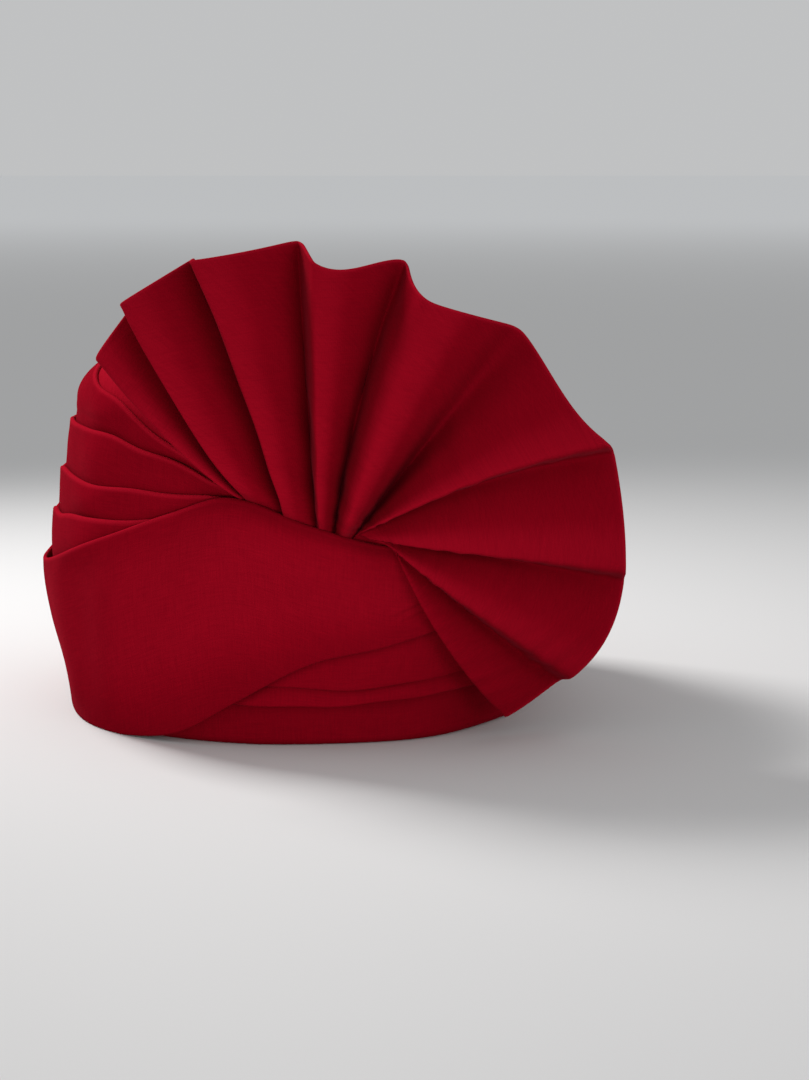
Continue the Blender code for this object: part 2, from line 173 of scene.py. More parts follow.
# Folds of the fan from the viewer's left over the top to the lower right. Angle: degrees from the
# viewer's right, seen from the front. Reach: length from the knot, share of FAN_REACH. Front: 1 a
# crest, -1 a valley. Back: how far the tip stands back from the knot, share of FAN_SET_BACK. Root:
# place in the gather as a share of CROWN_HALF_WIDTH. Tuck: how deep the root sits behind the sash,
# share of ROOT_TUCK. Bow: sideways bend, share of the fold's length. Round: the fold's radius at the
# hem, metres. The next panel has three columns of its own. Soft: how evenly it rolls from crest to
# valley. Sag: how far the middle of its hem dips towards the knot, metres. Skew: how much more it
# dips near this fold than near the next.
FAN_REACH = 0.120
FAN_SET_BACK = 0.036
SET_BACK_POWER = 2.5
FOLD_COLUMNS = ("angle", "reach", "front", "back", "root", "tuck", "bow", "round", "soft", "sag", "skew")
FOLDS = (
    (144.8, 1.022, -0.3, 1.05, -0.168, 0.3, 0.020, 0.0008, 0.5, 0.0, 0.0),
    (144.0, 1.044, 1.0, 0.95, -0.160, 0.3, 0.020, 0.0009, 0.1, 0.0, 0.0),
    (132.8, 1.075, -1.0, 0.90, -0.143, 0.4, 0.020, 0.0010, 0.5, 0.0, 0.0),
    (133.7, 1.100, 1.0, 0.85, -0.140, 0.5, 0.020, 0.0010, 0.0, 0.0, 0.0),
    (118.9, 1.078, -1.2, 0.80, -0.014, 1.0, -0.024, 0.0010, 0.5, 0.0, 0.0),
    (118.8, 1.074, 1.0, 0.78, -0.010, 1.0, -0.026, 0.0010, 0.0, 0.0006, 0.0),
    (98.9, 1.020, -1.2, 0.73, 0.088, 1.0, 0.000, 0.0012, 0.4, 0.0, 0.0),
    (96.1, 0.935, 1.0, 0.70, 0.095, 1.0, 0.000, 0.0012, 0.0, 0.0018, 2.0),
    (77.5, 0.962, -1.6, 0.70, 0.139, 0.9, 0.030, 0.0032, 0.1, 0.0026, 0.0),
    (70.5, 0.853, 1.3, 0.70, 0.168, 0.8, 0.010, 0.0022, 0.1, 0.0, 0.0),
    (50.0, 0.922, -1.8, 0.70, 0.197, 0.5, 0.010, 0.0050, 0.2, 0.0024, -1.2),
    (20.7, 0.944, 1.05, 0.75, 0.226, -0.4, 0.050, 0.0042, 0.4, 0.0, 0.0),
    (17.4, 0.960, -1.0, 0.80, 0.230, -0.4, 0.055, 0.0040, 0.1, -0.0010, 0.0),
    (-6.2, 0.953, 1.0, 0.87, 0.278, -0.4, 0.010, 0.0042, 0.4, 0.0, 0.0),
    (-9.6, 0.974, -1.0, 0.90, 0.284, -0.4, 0.020, 0.0040, 0.1, -0.0044, 0.0),
    (-31.8, 0.916, 0.9, 1.05, 0.329, -0.4, 0.000, 0.0036, 0.4, 0.0, 0.0),
    (-35.2, 0.914, -0.9, 1.08, 0.334, -0.4, 0.000, 0.0034, 0.2, 0.0, 0.0),
    (-49.5, 0.842, 0.5, 1.15, 0.362, -0.4, -0.040, 0.0008, 0.0, 0.0, 0.0),
)

# The fan's gather: how deep a pleat is at its root as a share of its depth at the hem, over what share
# of its length it stays so, how round its fold is there as a share of its radius at the hem, how far the
# gather springs forward and how much of the sash's bulge its root takes up
ROOT_DEPTH = 0.02
ROOT_SPAN = 0.04
ROOT_RADIUS = 0.35
GATHER_SPRING = 0.004
ROOT_SHARE = 0.4

# Where the fan lands on the crown: how softly, and in how many passes of smoothing. It climbs on to the
# sash from above its edge, over a height, and keeps some room there.
LANDING_EASE = 0.0012
LANDING_PASSES = 10
CLIMB_START = 0.012
CLIMB_DEPTH = 0.008
SASH_ROOM = 0.0012

# The fan's wall: its thickness in the gather and its bead along the hem as shares of the cloth's
# thickness, the bead's reach and the ripple of its faces
GATHER_THICKNESS = 0.35
HEM_BEAD = 0.30
BEAD_REACH = 0.0014
FAN_RIPPLE = 0.00012

# Short pinched creases in the sash beside the fan: degrees from the front, height, length, rise in
# degrees towards the viewer's right, and how deep each is, from its ridge to the sash. Metres.
CREASE_COLUMNS = ("angle", "height", "length", "rise", "depth")
CREASES = (
    (23.0, 0.0590, 0.016, 24, 0.0008),
    (24.5, 0.0562, 0.018, 26, 0.0007),
    (26.0, 0.0618, 0.014, 22, 0.0007),
    (27.0, 0.0540, 0.014, 28, 0.0006),
)

# Fineness of the surfaces
TURN_STEPS = 480
CAP_TURN_STEPS = 240
HOLLOW_STEPS = 26
WALL_STEPS = 20
ROLL_STEPS = 9
LEDGE_STEPS = 6
DOME_STEPS = 34
UNDERSIDE_STEPS = 41
FACE_STEPS = 22
TAIL_STEPS = 4
END_STEPS = 4
BAND_STEPS = 70
FAN_ROWS = 110
FAN_SPACING = 0.00135
CORNER_RADIUS = 0.0042

# The photograph's frame: its width and the focal length in pixels, and the camera's sensor width
FRAME_WIDTH = 809
FOCAL_PIXELS = 2667
SENSOR = 36.0

# The lights. Power: the setting that holds it. Size: width and height. Bearing: degrees from the front,
# towards the viewer's right. Spread: the width of its beam in degrees.
LIGHT_COLUMNS = ("name", "power", "size", "bearing", "elevation", "distance", "spread", "colour")
LIGHTS = (
    ("key_light", "key_power", (0.8, 0.5), 29, 8.5, 1.5, 180, (1.0, 0.98, 0.98)),
    ("low_light", "low_power", (0.25, 0.14), -4, 0, 0.9, 40, (1.0, 0.95, 0.90)),
    ("rim_light", "rim_power", (0.4, 0.4), -130, 43, 1.2, 90, (1.0, 0.98, 0.97)),
)
ROOM_COLOUR = (0.98, 0.99, 1.0, 1)

# The floor: half its side, and where its pale grey begins and ends to turn paler
FLOOR_HALF = 60
FLOOR_NEAR = 1.5
FLOOR_FAR = 12.0
FLOOR_GREY = (0.66, 0.66, 0.66, 1)
FLOOR_PALE = (0.96, 0.97, 0.98, 1)

# The cotton's finish. Slub stretches: how the noises are drawn out along the threads. Slub contrast and shift:
# how they pick between the two dyes. Patches: broad uneven tone. Wear-and-highlight and painted shade: how
# strongly the marks bring out the paler colour and the nearly black painted shade. Depths of the bumps are in
# metres.
SLUB_STRETCHES = ((0.8, 0.045, 1.0), (0.045, 0.8, 1.0))
SLUB_CONTRAST = 2.6
SLUB_SHIFT = -0.8
CROSSING_HEIGHT = 0.35
PATCH_SIZE = 0.05
PATCH_SHARE = 0.22
WEAR_AND_HIGHLIGHT_SHARE = 1.8
# Painted shade: how strongly negative marks darken towards the nearly black colour
PAINTED_SHADE_SHARE = 0.9
PAINTED_SHADE_COLOUR = (0.02, 0.0, 0.001, 1)
CREASE_BUMP = 0.0012
WEAVE_BUMP = 0.00012
SHEEN_TINT = (1.0, 0.12, 0.18, 1)


class ClothSettings(bpy.types.PropertyGroup):
    """The cotton: its thickness, weave and colour."""

    fold_thickness: bpy.props.FloatProperty(
        name="Fold thickness", description="Thickness of a folded turn at its lip",
        default=0.0020, unit="LENGTH")
    tail_thickness: bpy.props.FloatProperty(
        name="Tail thickness", description="Thickness of a turn where the next one covers it",
        default=0.0012, unit="LENGTH")
    sash_thickness: bpy.props.FloatProperty(
        name="Sash thickness", description="Thickness of the sash away from the knot",
        default=0.0017, unit="LENGTH")
    fan_thickness: bpy.props.FloatProperty(
        name="Fan thickness", description="Thickness of the starched cloth of the fan",
        default=0.0010, unit="LENGTH")
    thread: bpy.props.FloatProperty(
        name="Thread spacing", description="Distance from one thread of the weave to the next",
        default=0.0005, unit="LENGTH")
    dye: bpy.props.FloatVectorProperty(
        name="Dye", description="Colour of the cloth where the dye took well",
        subtype="COLOR", size=3, min=0, max=1, default=(0.215, 0.0012, 0.0074))
    dye_deep: bpy.props.FloatVectorProperty(
        name="Deep dye", description="Colour in the hollows of the weave",
        subtype="COLOR", size=3, min=0, max=1, default=(0.145, 0.0004, 0.0052))
    # The paler dye gives both the random patches of tone and the rubbed wear with a painted highlight, as well
    # as the painted light of the cap and the sash's middle
    dye_worn_and_lit: bpy.props.FloatVectorProperty(
        name="Worn dye", description="Colour where a folded edge has been rubbed",
        subtype="COLOR", size=3, min=0, max=1, default=(0.31, 0.0038, 0.014))
    roughness: bpy.props.FloatProperty(
        name="Roughness", description="Roughness of the matte cotton", default=0.88, min=0, max=1)
    sheen: bpy.props.FloatProperty(
        name="Sheen", description="Glow of the fibres at a grazing view", default=0.05, min=0, max=1)


class FanSettings(bpy.types.PropertyGroup):
    """The fan's pleats."""

    pleat_depth: bpy.props.FloatProperty(
        name="Pleat depth", description="Depth from crest to valley at the hem",
        default=0.024, unit="LENGTH")
    early_depth: bpy.props.FloatProperty(
        name="Early depth", description="Power of the pleats' growth: less opens them nearer the knot",
        default=0.36, min=0.2, max=2)


class StageSettings(bpy.types.PropertyGroup):
    """Camera and light."""

    distance: bpy.props.FloatProperty(
        name="Distance", description="From the camera to the point it looks at",
        default=1.2, unit="LENGTH")
    elevation: bpy.props.FloatProperty(
        name="Elevation", description="Height of the view above the level",
        default=np.radians(8.0), unit="ROTATION")
    aim_side: bpy.props.FloatProperty(
        name="Aim sideways", description="Point looked at, right of the head axis",
        default=0.045, unit="LENGTH")
    aim_height: bpy.props.FloatProperty(
        name="Aim height", description="Height of the point looked at",
        default=0.069, unit="LENGTH")
    key_power: bpy.props.FloatProperty(
        name="Key light", description="Power of the broad soft light in front",
        default=3.9, unit="POWER")
    low_power: bpy.props.FloatProperty(
        name="Low light", description="Power of the small warm light before the sash",
        default=0.13, unit="POWER")
    rim_power: bpy.props.FloatProperty(
        name="Rim light", description="Power of the light behind the left shoulder",
        default=4.3, unit="POWER")
    sky: bpy.props.FloatProperty(
        name="Room light", description="Strength of the pale surroundings", default=0.54, min=0, max=4)


def columns(names, rows):
    """The table's columns as arrays, by name."""
    return dict(zip(names, np.array(rows, float).T))


def smoothstep(share):
    """Ease from 0 to 1: three squares less two cubes of the share, held at its ends."""
    held = np.clip(share, 0, 1)
    return held * held * (3 - 2 * held)


def hermite(knots, values, at):
    """Smooth curve through points: cubic pieces whose slope at a point is that of its neighbours."""
    slopes = np.gradient(values, knots)
    cell = np.clip(np.searchsorted(knots, at, side="right") - 1, 0, len(knots) - 2)
    width = knots[cell + 1] - knots[cell]
    t = (at - knots[cell]) / width
    rise = 3 * t**2 - 2 * t**3
    return (
        values[cell] * (1 - rise)
        + values[cell + 1] * rise
        + width * slopes[cell] * (t**3 - 2 * t**2 + t)
        + width * slopes[cell + 1] * (t**3 - t**2)
    )


def edge_height(name, angle):
    """Height of a cloth edge at angles from the front, a closed smooth curve through its row."""
    knots = np.array(list(EDGE_ANGLES.values()), float)
    shares = np.array(EDGES[name], float)
    knots = np.concatenate([knots[-2:] - 360, knots, knots[:2] + 360])
    shares = np.concatenate([shares[-2:], shares, shares[:2]])
    turned = (np.asarray(angle, float) + 180) % 360 - 180
    return CROWN_HEIGHT * np.maximum(hermite(knots, shares, turned), 0.0)


def bell(distance, reach):
    """Bell curve: the exponential of minus the square of the distance as a share of its reach."""
    return np.exp(-((distance / reach) ** 2))


def within(angle, start, start_ease, end, end_ease):
    """1 within a span of angles, eased to 0 beyond its ends."""
    return smoothstep((angle - start) / start_ease) * smoothstep((end - angle) / end_ease)


def waves(across, up, seed, size_across, size_up, count=7):
    """A smooth random field of about unit height: a sum of sine waves with random lengths near the
    given sizes and random phases. Across is in degrees round the crown, so each wave makes a whole
    number of rounds; up is in metres."""
    draw = np.random.default_rng(seed)
    total = 0.0
    for _ in range(count):
        rounds = max(1, round(CROWN_GIRTH / size_across * draw.uniform(0.5, 1.5)))
        turns_up = draw.uniform(-1.3, 1.3) / size_up
        phase = draw.uniform(0, 6.3)
        total = total + np.sin(np.radians(across) * rounds + 2 * np.pi * turns_up * up + phase)
    return total / np.sqrt(count / 2)


def skin(height, angle=None):
    """Half width of the wound crown at a height: the table's smooth curve up to its last row, then a
    quarter ellipse to the top. Where an angle is given, slight hollows and swells are added."""
    table = columns(SKIN_COLUMNS, SKIN)
    share = np.asarray(height, float) / CROWN_HEIGHT
    last = table["height"][-1]
    wall = hermite(table["height"], table["half_width"], np.clip(share, 0.0, last))
    climb = np.clip((share - last) / (1 - last), 0.0, 1.0)
    half_width = CROWN_HALF_WIDTH * wall * np.sqrt(1 - climb**2)
    if angle is None:
        return half_width
    swell = waves(angle, height, seed=5, size_across=0.11, size_up=0.09)
    return half_width + CROWN_SWELL * swell * (1 - climb)


def oval(half_width, angle, height):
    """Points on the crown's oval plan, a superellipse. The point at an angle a from the front lies
    at k sin a across and k cos a forward, k being the superellipse's reach, and the half depth
    exceeds the half width by as much as the head's does."""
    sine, cosine = np.sin(np.radians(angle)), np.cos(np.radians(angle))
    stretch = (np.abs(sine) ** OVAL_POWER + np.abs(cosine) ** OVAL_POWER) ** (-1 / OVAL_POWER)
    spare = (HEAD_HALF_DEPTH - HEAD_HALF_WIDTH) * np.minimum(half_width / HEAD_HALF_WIDTH, 1)
    across, forward = half_width * stretch * sine, -(half_width + spare) * stretch * cosine
    return np.stack(np.broadcast_arrays(across, forward, height), -1)


def turn_angles(steps=TURN_STEPS):
    """Angles round the crown, evenly spaced from the back."""
    return np.arange(steps) * 360 / steps - 180


def lengths_along(points, axis):
    """Distance run along an axis of a grid of points, starting at 0."""
    steps = np.linalg.norm(np.diff(points, axis=axis), axis=-1)
    start = np.zeros_like(np.take(steps, [0], axis=axis))
    return np.concatenate([start, np.cumsum(steps, axis=axis)], axis=axis)


def build_mesh(name, points, corners, cloth_places, relief):
    """A mesh object from a grid's points and its four-cornered faces, with the cloth's own
    coordinates in metres as a UV map, and as an attribute its wear and painted light: 1 on a rubbed fold
    with a painted highlight, -1 for painted shade, deepest in a gather."""
    mesh = bpy.data.meshes.new(name)
    mesh.vertices.add(len(points))
    mesh.vertices.foreach_set("co", (points + [AXIS[0], AXIS[1], 0.0]).astype(np.float32).ravel())
    mesh.loops.add(corners.size)
    mesh.loops.foreach_set("vertex_index", corners.astype(np.int32).ravel())
    mesh.polygons.add(len(corners))
    mesh.polygons.foreach_set("loop_start", np.arange(0, corners.size, 4, dtype=np.int32))
    mesh.polygons.foreach_set("loop_total", np.full(len(corners), 4, np.int32))
    mesh.update(calc_edges=True)
    mesh.uv_layers.new(name="cloth").data.foreach_set("uv", cloth_places.astype(np.float32).ravel())
    marks = mesh.attributes.new("relief", "FLOAT", "POINT")
    marks.data.foreach_set("value", relief.astype(np.float32).ravel())
    mesh.shade_smooth()
    mesh.validate()
    made = bpy.data.objects.new(name, mesh)
    bpy.context.scene.collection.objects.link(made)
    return made


def grid_faces(rows, count, rows_close=True, columns_close=True):
    """Corners of the four-cornered faces of a grid whose points are numbered row by row. Where rows
    or columns close, the last is joined to the first."""
    row_faces, column_faces = rows - (not rows_close), count - (not columns_close)
    i, j = np.meshgrid(np.arange(row_faces), np.arange(column_faces), indexing="ij")
    after, below = (i + 1) % rows, (j + 1) % count
    corners = [i * count + j, i * count + below, after * count + below, after * count + j]
    return np.stack(corners, -1).reshape(-1, 4)


def ring_object(name, points, relief):
    """A closed tube of cloth round the crown from a grid of points: rows are angles, columns go once
    round the section. Both directions close on themselves."""
    closed = np.concatenate([points, points[:1]], 0)
    closed = np.concatenate([closed, closed[:, :1]], 1)
    round_length = lengths_along(closed, 0).mean(axis=1, keepdims=True)
    section_length = lengths_along(closed, 1)
    place = np.stack(np.broadcast_arrays(round_length, section_length), -1)
    cloth = np.stack([place[:-1, :-1], place[:-1, 1:], place[1:, 1:], place[1:, :-1]], -2)
    return build_mesh(name, points.reshape(-1, 3), grid_faces(*points.shape[:2]), cloth, relief)


def folded_section(half_width, height, thickness):
    """Closed section of a fold of cloth round its centre line. Rows are angles, columns run from the
    upper end to the lower one. The outer face lies half the thickness along the normal, the inner
    face as far the other way, and each end is a half circle. Also gives the distance of each point
    from the upper end."""
    run_out, run_up = np.gradient(half_width, axis=1), np.gradient(height, axis=1)
    run = np.hypot(run_out, run_up) + 1e-12
    along = np.stack([run_out / run, run_up / run], -1)
    normal = np.stack([-along[..., 1], along[..., 0]], -1)
    centre = np.stack(np.broadcast_arrays(half_width, height), -1)
    half = thickness[..., None] / 2
    bend = np.linspace(0, np.pi, END_STEPS + 2)[1:-1, None]
    lower_turn = np.cos(bend) * normal[:, -1:] + np.sin(bend) * along[:, -1:]
    upper_turn = np.cos(bend) * normal[:, :1] + np.sin(bend) * along[:, :1]
    lower = centre[:, -1:] + half[:, -1:] * lower_turn
    upper = centre[:, :1] - half[:, :1] * upper_turn
    outer, inner = centre + half * normal, (centre - half * normal)[:, ::-1]
    section = np.concatenate([outer, lower, inner, upper], axis=1)
    from_lip = lengths_along(centre, 1)
    ends = [np.repeat(from_lip[:, -1:], END_STEPS, 1), np.zeros((len(centre), END_STEPS))]
    from_lip = np.concatenate([from_lip, ends[0], from_lip[:, ::-1], ends[1]], axis=1)
    return section[..., 0], section[..., 1], from_lip


def dress(piece, *nodes):
    """Ride on the body, stand for the CAD nodes and take the cloth's finish."""
    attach(piece, "root")
    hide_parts(*nodes)
    piece.data.materials.clear()
    piece.data.materials.append(cotton())
    return piece


def add_node(tree, kind, inputs=None, **settings):
    """A new node with its settings. An input's value is set, and a socket given for it is linked."""
    made = tree.nodes.new(kind)
    for name, value in settings.items():
        setattr(made, name, value)
    for key, value in (inputs or {}).items():
        if isinstance(value, bpy.types.NodeSocket):
            tree.links.new(value, made.inputs[key])
        else:
            made.inputs[key].default_value = value
    return made


def math_node(tree, operation, *values):
    """The result of one sum on numbers or sockets."""
    return add_node(tree, "ShaderNodeMath", dict(enumerate(values)), operation=operation).outputs[0]


def noise_node(tree, place, scale, detail, roughness, distortion=0.0):
    """The value of a noise at a place."""
    inputs = {"Vector": place, "Scale": scale, "Detail": detail, "Roughness": roughness}
    inputs["Distortion"] = distortion
    return add_node(tree, "ShaderNodeTexNoise", inputs).outputs["Fac"]


def new_group(name, inputs, outputs):
    """A shader node group with named number or vector sockets, its input node and output node."""
    tree = bpy.data.node_groups.new(name, "ShaderNodeTree")
    for label, kind in inputs:
        tree.interface.new_socket(label, in_out="INPUT", socket_type=kind)
    for label, kind in outputs:
        tree.interface.new_socket(label, in_out="OUTPUT", socket_type=kind)
    return tree, tree.nodes.new("NodeGroupInput"), tree.nodes.new("NodeGroupOutput")


def weave_group():
    """Plain weave: the product of two sines, one across each set of threads, with slubs, which are
    noises stretched along each set."""
    if "Plain weave" in bpy.data.node_groups:
        return bpy.data.node_groups["Plain weave"]
    number = "NodeSocketFloat"
    inputs = (("Cloth place", "NodeSocketVector"), ("Thread", number))
    tree, given, result = new_group("Plain weave", inputs, (("Height", number), ("Slub", number)))
    finer = math_node(tree, "DIVIDE", 1.0, given.outputs["Thread"])
    scaled = {0: given.outputs["Cloth place"], 3: finer}
    place = add_node(tree, "ShaderNodeVectorMath", scaled, operation="SCALE").outputs[0]
    apart = add_node(tree, "ShaderNodeSeparateXYZ", {0: place})
    warp = math_node(tree, "SINE", math_node(tree, "MULTIPLY", apart.outputs[0], np.pi))
    weft = math_node(tree, "SINE", math_node(tree, "MULTIPLY", apart.outputs[1], np.pi))
    slubs = []
    for stretch in SLUB_STRETCHES:
        drawn_out = add_node(tree, "ShaderNodeVectorMath", {0: place, 1: stretch}, operation="MULTIPLY")
        slubs.append(noise_node(tree, drawn_out.outputs[0], 1.0, 3.0, 0.6))
    slub = math_node(tree, "MULTIPLY", math_node(tree, "ADD", *slubs), 0.5)
    crossing = math_node(tree, "MULTIPLY", math_node(tree, "MULTIPLY", warp, weft), CROSSING_HEIGHT)
    tree.links.new(math_node(tree, "ADD", crossing, slub), result.inputs["Height"])
    tree.links.new(slub, result.inputs["Slub"])
    return tree


def handling_group():
    """What hands leave in cloth: broad uneven tone and faint soft creases, each a noise in the
    object's own space."""
    if "Handled cloth" in bpy.data.node_groups:
        return bpy.data.node_groups["Handled cloth"]
    number = "NodeSocketFloat"
    inputs = (("Place", "NodeSocketVector"), ("Patch size", number))
    tree, given, result = new_group("Handled cloth", inputs, (("Tone", number), ("Crease height", number)))
    place = given.outputs["Place"]
    often = math_node(tree, "DIVIDE", 1.0, given.outputs["Patch size"])
    closer = math_node(tree, "MULTIPLY", often, 2.6)
    tree.links.new(noise_node(tree, place, often, 2.0, 0.5), result.inputs["Tone"])
    tree.links.new(noise_node(tree, place, closer, 4.0, 0.5, 0.6), result.inputs["Crease height"])
    return tree


def mix_colours(tree, share, first, second):
    """A blend of two colours by a share."""
    inputs = {0: share, 6: first, 7: second}
    return add_node(tree, "ShaderNodeMix", inputs, data_type="RGBA", clamp_factor=True).outputs[2]


def cotton():
    """Matte red cotton: woven and slubbed along the cloth's own threads, uneven in tone, paler where
    a fold is rubbed, with a painted highlight there, and darkened by painted shade under seams and the sash,
    nearly black deep in the gather."""
    if "woven_red_cotton" in bpy.data.materials:
        return bpy.data.materials["woven_red_cotton"]
    cloth = bpy.context.scene.turban_cloth
    material = bpy.data.materials.new("woven_red_cotton")
    material.use_nodes = True
    tree = material.node_tree
    shader = tree.nodes["Principled BSDF"]
    place = add_node(tree, "ShaderNodeTexCoord").outputs["Object"]
    threads = add_node(tree, "ShaderNodeUVMap", uv_map="cloth").outputs[0]
    relief = add_node(tree, "ShaderNodeAttribute", attribute_name="relief").outputs["Fac"]
    woven = {"Cloth place": threads, "Thread": cloth.thread}
    weave = add_node(tree, "ShaderNodeGroup", woven, node_tree=weave_group())
    touched = {"Place": place, "Patch size": PATCH_SIZE}
    handled = add_node(tree, "ShaderNodeGroup", touched, node_tree=handling_group())
    evenness = math_node(tree, "MULTIPLY_ADD", weave.outputs["Slub"], SLUB_CONTRAST, SLUB_SHIFT)
    colour = mix_colours(tree, evenness, (*cloth.dye_deep, 1), (*cloth.dye, 1))
    patchy = math_node(tree, "MULTIPLY", handled.outputs["Tone"], PATCH_SHARE)
    colour = mix_colours(tree, patchy, colour, (*cloth.dye_worn_and_lit, 1))
    # Paler where the marks are positive, picked out by the slubs: rubbed wear with a painted highlight, and
    # painted light on the cap and the sash
    wear_and_highlight = math_node(tree, "MULTIPLY", relief, weave.outputs["Slub"])
    wear_and_highlight = math_node(tree, "MULTIPLY", wear_and_highlight, WEAR_AND_HIGHLIGHT_SHARE)
    colour = mix_colours(tree, wear_and_highlight, colour, (*cloth.dye_worn_and_lit, 1))
    # Painted shade where the marks are negative: darker, nearly black at -1
    painted_shade = math_node(tree, "MULTIPLY", relief, -PAINTED_SHADE_SHARE)
    colour = mix_colours(tree, painted_shade, colour, PAINTED_SHADE_COLOUR)
    creased = {"Strength": 0.35, "Distance": CREASE_BUMP, "Height": handled.outputs["Crease height"]}
    crease = add_node(tree, "ShaderNodeBump", creased).outputs[0]
    rough = {"Strength": 0.5, "Distance": WEAVE_BUMP, "Height": weave.outputs["Height"], "Normal": crease}
    bump = add_node(tree, "ShaderNodeBump", rough).outputs[0]
    tree.links.new(colour, shader.inputs["Base Color"])
    tree.links.new(bump, shader.inputs["Normal"])
    shader.inputs["Roughness"].default_value = cloth.roughness
    shader.inputs["Specular IOR Level"].default_value = 0.0
    shader.inputs["Sheen Weight"].default_value = cloth.sheen
    shader.inputs["Sheen Roughness"].default_value = 0.35
    shader.inputs["Sheen Tint"].default_value = SHEEN_TINT
    return material


def joined(first, second):
    """Two stretches of a section end to end, each a list of grids that belong together."""
    return [np.concatenate(pair, axis=1) for pair in zip(first, second)]


def folded_turn(upper, lower, tail_up, tail_down, cloth):
    """One turn of cloth as a closed folded section. Upper and lower are the heights of its edges.
    Where a tail is given that edge is hidden: the cloth runs on behind its neighbour by the tail,
    flush with the crown; elsewhere the edge is a lip that stands proud by the fold's thickness."""
    angle = turn_angles()[:, None]
    lift = cloth.fold_thickness + CLEARANCE
    share = np.linspace(0, 1, FACE_STEPS + 1)[None, :]
    top_lip, low_lip = tail_up is None, tail_down is None
    start = upper[:, None] - cloth.fold_thickness / 2 * top_lip
    end = lower[:, None] + cloth.fold_thickness / 2 * low_lip
    height = start + (end - start) * share
    proud = top_lip + (low_lip - top_lip) * share + 0 * height
    thick = cloth.tail_thickness + (cloth.fold_thickness - cloth.tail_thickness) * proud
    uneven = 1 + 0.6 * waves(angle, height, seed=11, size_across=0.05, size_up=0.2)
    stand = lift * proud + PLUMPNESS * np.sin(np.pi * share) * uneven
    section = [height, stand, thick]
    steps = np.linspace(0, 1, TAIL_STEPS + 1)
    if not top_lip:
        above = start + tail_up[:, None] * steps[:0:-1]
        section = joined([above, 0 * above - TAIL_SINK, 0 * above + cloth.tail_thickness], section)
    if not low_lip:
        below = end - tail_down[:, None] * steps[1:]
        section = joined(section, [below, 0 * below - TAIL_SINK, 0 * below + cloth.tail_thickness])
    height, stand, thick = section
    return folded_section(skin(height, angle) + stand - thick / 2, height, thick)


def make_folded_turns(cloth):
    """The six folded turns, from the top down. The upper five seams are lips of the lower turn over
    the upper one's tail, and the two lowest are hems of the upper turn over the lower one."""
    angle = turn_angles()
    seams = ("wrap_1_top", "wrap_2_top", "wrap_3_top", "wrap_4_top", "rim_1_top", "rim_1_hem", "rim_2_hem")
    slack = [EDGE_SLACK * waves(angle, 0.0, 31 + i, size_across=0.05, size_up=1.0) for i in range(len(seams))]
    levels = [edge_height(seam, angle) + loose for seam, loose in zip(seams, slack)]
    names = [f"crown_wrap_{i}" for i in range(1, 5)] + ["rim_wrap_1", "rim_wrap_2"]
    made = []
    for i, name in enumerate(names):
        upper, lower = levels[i], levels[i + 1]
        beneath = levels[i + 2] if i + 2 < len(levels) else 0 * lower
        hung = name in HUNG_TURNS
        tail_up = np.minimum(UPPER_TAIL, LAP_SHARE * (upper - lower)) if name == "rim_wrap_2" else None
        tail_down = None if hung else np.minimum(LOWER_TAIL, LAP_SHARE * (lower - beneath))
        half_width, height, from_lip = folded_turn(upper, lower, tail_up, tail_down, cloth)
        points = oval(half_width, angle[:, None], height)
        # The lips paler: rubbed wear with a painted highlight
        relief = bell(from_lip, WORN_AND_LIT_EDGE_REACH)
        if hung:
            # Hung turns instead take painted shade under the seam above and under the sash's hem
            below_sash = np.maximum(edge_height("band_hem", angle)[:, None] - height, 0)
            relief = -SEAM_SHADE * bell(upper[:, None] - height, SEAM_REACH)
            relief = relief - UNDER_SASH_SHADE * bell(below_sash, UNDER_SASH_REACH)
        piece = dress(ring_object(name + "_cloth", points, relief), name)
        made.append(piece)
    return made


def section_of(stretches, angle):
    """A section's half widths and heights, one row for each angle, from its stretches, each given
    as its half widths and its heights."""
    spread = [np.broadcast_arrays(half_width, height, angle)[:2] for half_width, height in stretches]
    return [np.concatenate(part, axis=1) for part in zip(*spread)]


def make_rolled_rim():
    """The lowest turn: wound layers rolled into the rim. Its section runs down the outside, round
    the roll, across the underside and up the inside. On the underside the layers' edges show as
    shallow bulges, each a sine to a power that makes it fuller."""
    angle = turn_angles()[:, None]
    hem = edge_height("rim_2_hem", angle)
    top = hem + np.minimum(UPPER_TAIL, LAP_SHARE * hem)
    inner = CAP_RADIUS + CLEARANCE
    face_height = top + (RIM_ROLL - top) * np.linspace(0, 1, FACE_STEPS + 1)[None, :]
    face = skin(face_height, angle) - TAIL_SINK
    roll_centre = face[:, -1:] - RIM_ROLL
    bend = np.radians(np.linspace(0, 90, ROLL_STEPS))[None, 1:]
    across = np.linspace(0, 1, UNDERSIDE_STEPS)[None, 1:]
    bulges = LAYER_BULGE * np.abs(np.sin(np.pi * across * RIM_LAYERS)) ** 0.7
    half_width, height = section_of([
        (face, face_height),
        (roll_centre + RIM_ROLL * np.cos(bend), RIM_ROLL - RIM_ROLL * np.sin(bend)),
        (roll_centre + (inner - roll_centre) * across, LAYER_BULGE - bulges),
        (inner, np.linspace(0, 1, ROLL_STEPS)[None, 1:] * top),
    ], angle)
    points = oval(half_width, angle, height)
    # Painted shade: the rim darker all over, darker still under the hem above
    relief = RIM_PAINTED_SHADE - SEAM_SHADE * bell(hem - height, SEAM_REACH)
    piece = dress(ring_object("rim_wrap_3_cloth", points, relief), "rim_wrap_3")
    return piece


